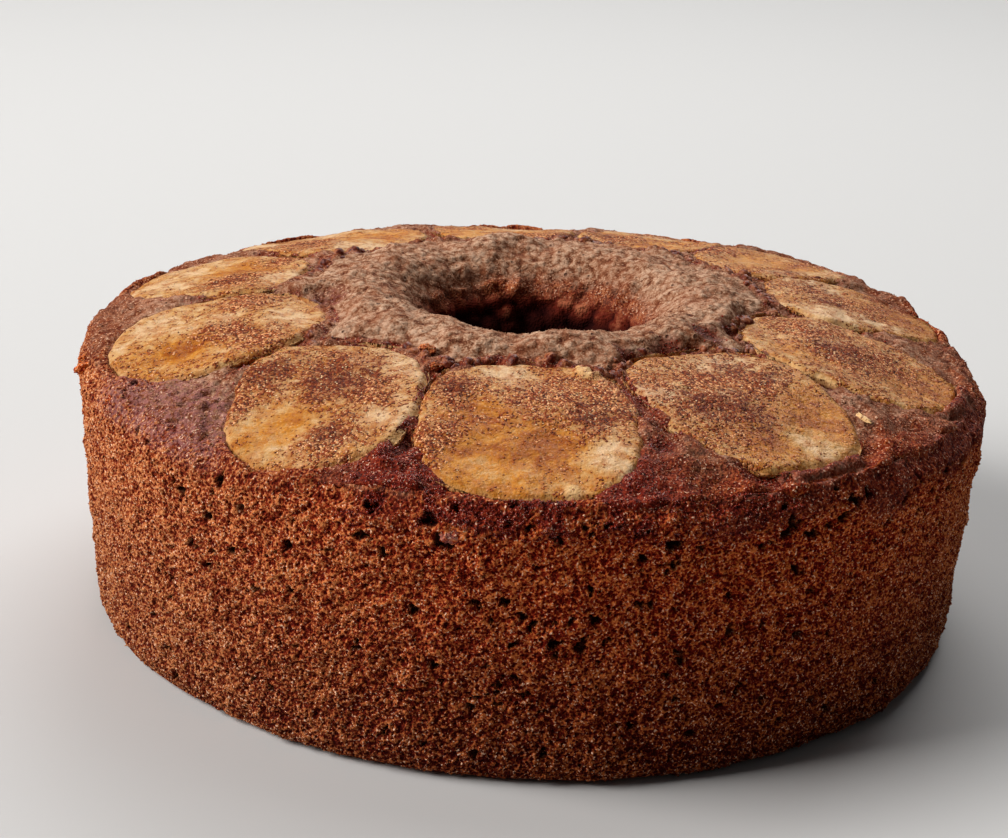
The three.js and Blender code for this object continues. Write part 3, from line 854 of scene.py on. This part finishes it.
def makeSlice(outline, shape, material):
    number = outline["node"][-2:]
    piece, p, n = copiedNode(outline["node"], "slice_" + number, shape["voxel"])
    seed = 20 + int(number)
    middle = outline["ring"].mean(axis=0)
    inward = -middle / np.linalg.norm(middle)
    across = np.array([inward[1], -inward[0]])
    plan = p[:, :2] - middle
    u, v = plan @ across, plan @ inward
    marks = patchMarks(number, seed, p, u / np.abs(u).max(), v / np.abs(v).max())
    inside, fromAxis = -beyondOutline(outline, p[:, :2]), np.hypot(p[:, 0], p[:, 1])
    top = ease(0.1, 0.6, n[:, 2])
    marks["edge"] = ease(1.8, 0.5, inside) * np.clip(0.5 + ripple(p, (0.9, 13, seed + 100)), 0, 1)
    marks["side"] = ease(0.55, 0.1, n[:, 2])
    # a torn corner stands up a little and is paler
    for *spot, lift in shape["torn"].get(number, []):
        torn = ease(1.2, 0.5, awayFrom(p, *spot) + ripple(p, (0.3, 2.2, seed + 180)))
        marks["edge"] = np.maximum(marks["edge"], torn)
        p[:, 2] += top * torn * lift * (1 + ripple(p, (0.8, 1.8, seed + 190)))
    sunk = shape["sink"] + shape["dish"] * ease(3, 14, inside) + shape["taper"] * ease(1.8, 0, inside)
    # it bends down over the shoulder, and in below the collar of crust
    sunk += ease(106, 117, fromAxis) + ease(76, 62, fromAxis)
    p[:, 2] -= top * sunk
    p[:, 2] += top * ripple(p, (0.6, 17, seed), (0.4, 7, seed + 20), (0.22, 2.6, seed + 40))
    dusty = 0.35 * marks["dust"] * (0.3 + ripple(p, (1, 1.6, seed + 160)))
    p[:, 2] += top * (dusty - 0.6 * marks["amber"])
    out = plan / np.maximum(np.linalg.norm(plan, axis=1), 1)[:, None]
    waver = shape["swell"] + shape["waver"] * ripple(p, (1, 11, seed + 60), (0.7, 4.5, seed + 80))
    waver = np.where(waver > 0, waver * ease(117, 110, fromAxis), waver)
    p[:, :2] += out * (waver * ease(6, 0, inside))[:, None]
    movePoints(piece, p)
    store(piece, **marks)
    # the top as a slightly curved plane, for the batter around it
    flat = (n[:, 2] > 0.7) & (inside > 2)
    outline["middle"] = middle
    outline["top"] = np.linalg.lstsq(bowlTerms(plan[flat]), p[flat, 2], rcond=None)[0]
    return finished(piece, material, "fruit", outline["node"])


# kinds of grains: marking they sit on, count per carrier, least and greatest size, height and seed
grainKinds = {
    "crumb_grains": ("crumbly", 3900, 0.19, 0.42, 0.28, 11),
    "crust_grains": ("crusty", 17000, 0.16, 0.42, 0.14, 12),
    "syrup_beads": ("glaze", 4000, 0.19, 0.48, 0.36, 31),
}


def meshPiece(name, points, faces):
    # a new piece from points in mm
    mesh = bpy.data.meshes.new(name)
    mesh.from_pydata((points * mm).tolist(), [], faces)
    return newObject(name, mesh)


def newBall(subdivisions):
    # a ball of radius 1, and its points
    bpy.ops.mesh.primitive_ico_sphere_add(subdivisions=subdivisions, radius=1)
    ball = bpy.context.object
    return ball, np.array([v.co for v in ball.data.vertices])


def scatterPlaces(piece, marking, count, chance):
    # points by chance over a piece, as dense as its marking says: place, normal and a vertex beside it
    mesh = piece.data
    mesh.calc_loop_triangles()
    corners = valuesOf(mesh.loop_triangles, "vertices", 3, np.int32)
    p, n = pointsOf(piece), normalsOf(piece)
    a, b, c = (p[corners[:, k]] for k in range(3))
    weight = np.linalg.norm(np.cross(b - a, c - a), axis=1) * marked(piece, marking)[corners].mean(axis=1)
    chosen = chance.choice(len(corners), count, p=weight / weight.sum())
    s, t = chance.random(count), chance.random(count)
    s, t = np.where(s + t > 1, 1 - s, s)[:, None], np.where(s + t > 1, 1 - t, t)[:, None]
    return a[chosen] + s * (b - a)[chosen] + t * (c - a)[chosen], n[corners[chosen, 0]], corners[chosen, 0]


def joinedGrains(name, places, normals, sizes, proud, chance):
    # low four-sided grains, closed below, in one mesh with a bake cell for each
    count = len(places)
    side = np.cross(normals, (0.31, 0.42, 0.85))
    side /= np.linalg.norm(side, axis=1)[:, None]
    other = np.cross(normals, side)
    turn = chance.uniform(0, 2 * math.pi, (count, 1)) + np.arange(4) * math.pi / 2
    reach = sizes[:, None] * chance.uniform(0.65, 1.4, (count, 4))
    ring = (reach * np.cos(turn))[:, :, None] * side[:, None]
    ring += (reach * np.sin(turn))[:, :, None] * other[:, None]
    ring += places[:, None] - 0.18 * normals[:, None]
    tip = places + normals * (proud * sizes / sizes.mean() * chance.uniform(0.5, 1.3, count))[:, None]
    tip += chance.normal(0, 0.3, (count, 3)) * sizes[:, None]
    points = np.concatenate([ring, tip[:, None]], axis=1)
    sides = np.array([(0, 1, 4), (1, 2, 4), (2, 3, 4), (3, 0, 4), (0, 2, 1), (0, 3, 2)])
    faces = (sides[None] + 5 * np.arange(count)[:, None, None]).reshape(-1, 3)
    points[:, :, 2] = np.maximum(points[:, :, 2], 0.05)
    piece = meshPiece(name, points.reshape(-1, 3), faces.tolist())
    rows = math.ceil(math.sqrt(count))
    cell = np.column_stack([np.arange(count) % rows, np.arange(count) // rows])[:, None, None, :]
    flat = np.array([(0.92, 0.5), (0.5, 0.92), (0.08, 0.5), (0.5, 0.08), (0.5, 0.5)])[sides]
    flat[4:] = 0.05 + 0.12 * flat[4:]  # the underside goes in a corner of its cell
    spread = (cell + flat[None]) / rows
    layer = piece.data.uv_layers.new(name="OFBake")
    layer.data.foreach_set("uv", np.ascontiguousarray(spread, np.float32).ravel())
    return piece


def makeGrains(name, carriers, material):
    # one piece with all grains of a kind, each with the marks of the place it sits on
    marking, count, small, large, proud, seed = grainKinds[name]
    chance = np.random.default_rng(seed)
    found = [scatterPlaces(carrier, marking, count, chance) for carrier in carriers]
    places, normals = (np.concatenate([part[k] for part in found]) for k in range(2))
    sizes = chance.uniform(small, large, len(places))
    grains = joinedGrains(name, places, normals, sizes, proud, chance)
    marks = {mark: np.concatenate([marked(carrier, mark)[part[2]] for carrier, part in zip(carriers, found)])
             for mark in crumbMarks}
    marks["rise"] = chance.uniform(0.55, 1.0, len(places))
    store(grains, **{mark: np.repeat(value, 5) for mark, value in marks.items()})
    finished(grains, material, "crumb")
    print(name + ":", len(places))


def syrupMaterial():
    material, shader, place = startMaterial("dark_syrup", Specular_IOR_Level=0.5, Roughness=0.14)
    feed(shader, Base_Color=cloud(place, 1.6).ramp(0.3, 0.7).mix(tone(84, 10, 4), tone(150, 44, 20)))
    return material


knobShape = {"count": 240, "small": 0.7, "large": 2.2, "seed": 41,
             "colours": tones((0, 58, 8, 4), (0.4, 110, 44, 24), (1, 172, 108, 70))}


def knobMaterial(shape):
    material, shader, place = startMaterial("sticky_knobs", Specular_IOR_Level=0.2, Roughness=0.4)
    value = cloud(place, 3.5) * 0.6 + cloud(place, 0.9, 2, 20) * 0.8
    feed(shader, Base_Color=coloured(value.ramp(0.4, 1.0), shape["colours"]),
         Normal=bump(cloud(place, 0.7), 0.3))
    return material


def makeKnobs(carrier, shape, material):
    # rounded knobs of sticky batter along the foot of the collar
    chance = np.random.default_rng(shape["seed"])
    places, normals, _ = scatterPlaces(carrier, "knobby", shape["count"], chance)
    ball, corner = newBall(2)
    face = np.array([f.vertices[:] for f in ball.data.polygons])
    bpy.data.objects.remove(ball)
    points = []
    for index, (place, normal) in enumerate(zip(places, normals)):
        size = shape["small"] + (shape["large"] - shape["small"]) * chance.random() ** 1.6
        lump = corner * (1 + ripple(corner, (0.5, 0.9, 300 + index)))[:, None] * chance.uniform(0.7, 1.3, 3)
        points.append(place + size * (lump - 0.6 * normal))
    faces = (face[None] + len(corner) * np.arange(len(points))[:, None, None]).reshape(-1, 3)
    finished(meshPiece("sticky_knobs", np.concatenate(points), faces.tolist()), material, "crumb")
    print("knobs:", len(points))


amberMarks = {"rise": 0.8, "skin": 0.5, "tan": 0.6}
# small things that cling to it: carrier, place, half sizes, turn about the upright and marks
bitShapes = {
    "fruit_sliver": ("cake", (77.8, -64.1, 73.6), (3.4, 0.8, 0.6), 118, {"pale": 1, "edge": 1}),
    "amber_drop_1": ("cake", (-26.3, -53.4, 82), (1.9, 1.7, 1.2), 0, amberMarks),
    "amber_drop_2": ("cake", (-23.7, -61.3, 81), (1.6, 1.3, 1.0), 40, amberMarks),
    "rim_crumb_1": ("cake_side_6", (-113.6, -37.2, 68.4), (2.4, 1.4, 1.2), 20, {"rise": 0.8}),
    "rim_crumb_2": ("cake_side_6", (-115, -30, 68.0), (1.6, 1.1, 0.9), 70, {"rise": 0.8}),
    "rim_crumb_3": ("cake_side_6", (-101, -60, 68.6), (1.5, 1.2, 0.9), 50, {"rise": 0.7}),
    "grey_lump": ("cake_side_1", (-17.2, -118, 61.5), (2.4, 1.1, 1.7), 0, {"plum": 1, "rise": 0.7}),
}


def makeBit(name, shape, materials):
    carrier, place, half, degrees, own = shape
    _, foot, normal, _ = bpy.data.objects[carrier].closest_point_on_mesh(Vector(place) * mm)
    bit, p = newBall(4)
    bit.name = bit.data.name = name
    seed = 200 + len(name) + sum(place)
    p *= 1 + ripple(p, (0.45, 0.9, seed), (0.35, 0.35, seed + 1))[:, None]
    turn = Matrix.Rotation(math.radians(degrees), 3, "Z")
    p = (p * half) @ np.array(turn.transposed()) + np.array(foot) / mm
    p += np.array(normal) * min(half) * 0.2
    movePoints(bit, p)
    slot = "fruit" if "pale" in own else "crumb"
    names = sliceMarks if slot == "fruit" else crumbMarks
    store(bit, **{mark: np.full(len(p), own.get(mark, 0.0)) for mark in names})
    finished(bit, materials[slot], slot)


cameraView = {"lens": 69.324, "away": 530.86, "elevation": 19.49, "roll": 2.8, "target": (-6.97, 0, 46.78)}


def makeCamera(view):
    lift = math.radians(view["elevation"])
    camera = newObject("camera", bpy.data.cameras.new("camera"))
    camera.data.lens = view["lens"]
    back = Vector((0, -math.cos(lift), math.sin(lift)))
    camera.location = (Vector(view["target"]) + view["away"] * back) * mm
    turn = Matrix.Rotation(math.pi / 2 - lift, 3, "X") @ Matrix.Rotation(math.radians(view["roll"]), 3, "Z")
    camera.rotation_euler = turn.to_euler()
    camera.data.clip_start = 0.01
    bpy.context.scene.camera = camera


studio = {
    "lights": [("window", (-2.3, -0.44, 1.6), 1.6, 112, (1.0, 0.97, 0.95)),
               ("ceiling", (0.1, 0.7, 1.3), 1.2, 8.5, (1.0, 0.99, 0.98)),
               ("backdrop", (0.5, 2.4, 1.9), 2.4, 46, (1.0, 1.0, 1.0))],
    "surround": (0.95, 0.96, 0.97, 1), "surroundStrength": 0.045, "floor": tone(199, 199, 198),
}


def makeStudio(plan):
    bpy.ops.mesh.primitive_plane_add(size=8)
    floor = bpy.context.object
    floor.name = "floor"
    paint, _, _ = startMaterial("pale_floor", Base_Color=plan["floor"], Roughness=0.8, Specular_IOR_Level=0.1)
    floor.data.materials.append(paint)
    for name, place, size, power, colour in plan["lights"]:
        bpy.ops.object.light_add(type="AREA", location=place)
        light = bpy.context.object
        light.name, light.data.size, light.data.energy, light.data.color = name, size, power, colour
        light.rotation_euler = (Vector((0, 0, 0.05)) - Vector(place)).to_track_quat("-Z", "Y").to_euler()
    world = bpy.data.worlds.new("studio")
    bpy.context.scene.world = world
    world.use_nodes = True
    surround = world.node_tree.nodes["Background"].inputs
    surround["Color"].default_value = plan["surround"]
    surround["Strength"].default_value = plan["surroundStrength"]
    bpy.context.scene.view_settings.view_transform = "Standard"


fruit = sliceMaterial(sliceLook)
for outline in outlines:
    makeSlice(outline, sliceShape, fruit)
print("slices:", len(outlines))
crumb = crumbMaterial("baked_crumb", 0.07, crumbLook)
crust = crumbMaterial("baked_crust", 0.05, crumbLook)
cake = makeBody(cakeShape, crust)
sides = makeSides(sideShape, crumb)
makeGrains("crumb_grains", sides, crumb)
makeGrains("crust_grains", [cake], crust)
makeGrains("syrup_beads", [cake, sides[0]], syrupMaterial())  # below the front slices and in the gaps
makeKnobs(cake, knobShape, knobMaterial(knobShape))
for name, shape in bitShapes.items():
    makeBit(name, shape, {"crumb": crumb, "fruit": fruit})
print("bits:", len(bitShapes))
makeCamera(cameraView)
makeStudio(studio)
